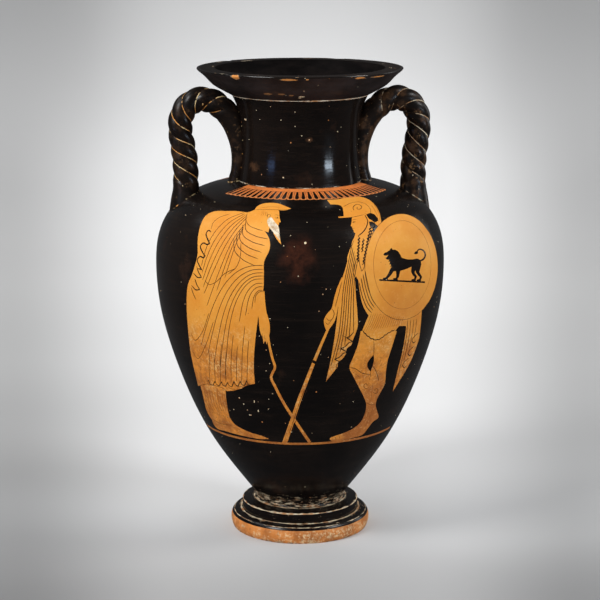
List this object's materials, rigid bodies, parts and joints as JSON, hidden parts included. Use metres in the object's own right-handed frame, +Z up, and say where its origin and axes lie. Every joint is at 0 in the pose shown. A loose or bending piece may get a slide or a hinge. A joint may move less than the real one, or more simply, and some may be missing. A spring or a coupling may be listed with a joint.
{
  "type": "neck amphora",
  "caption": "Neck amphora in fired clay: an ovoid storage jar with an offset neck, a flaring mouth, twisted handles and a stepped disc foot.",
  "frame": {"origin": "middle of the ring that the foot rests on, at table height", "axes": "+Z up the axis of the vessel; the handles lie along +X and -X; the main picture faces -Y and the reverse faces +Y"},
  "size_m": [0.3686, 0.3686, 0.6],
  "materials": {
    "glazed_clay": "glossy black slip on reserved orange clay, worn at the edges"
  },
  "bodies": {
    "root": {"amphora": "glazed_clay"}
  },
  "joints": []
}
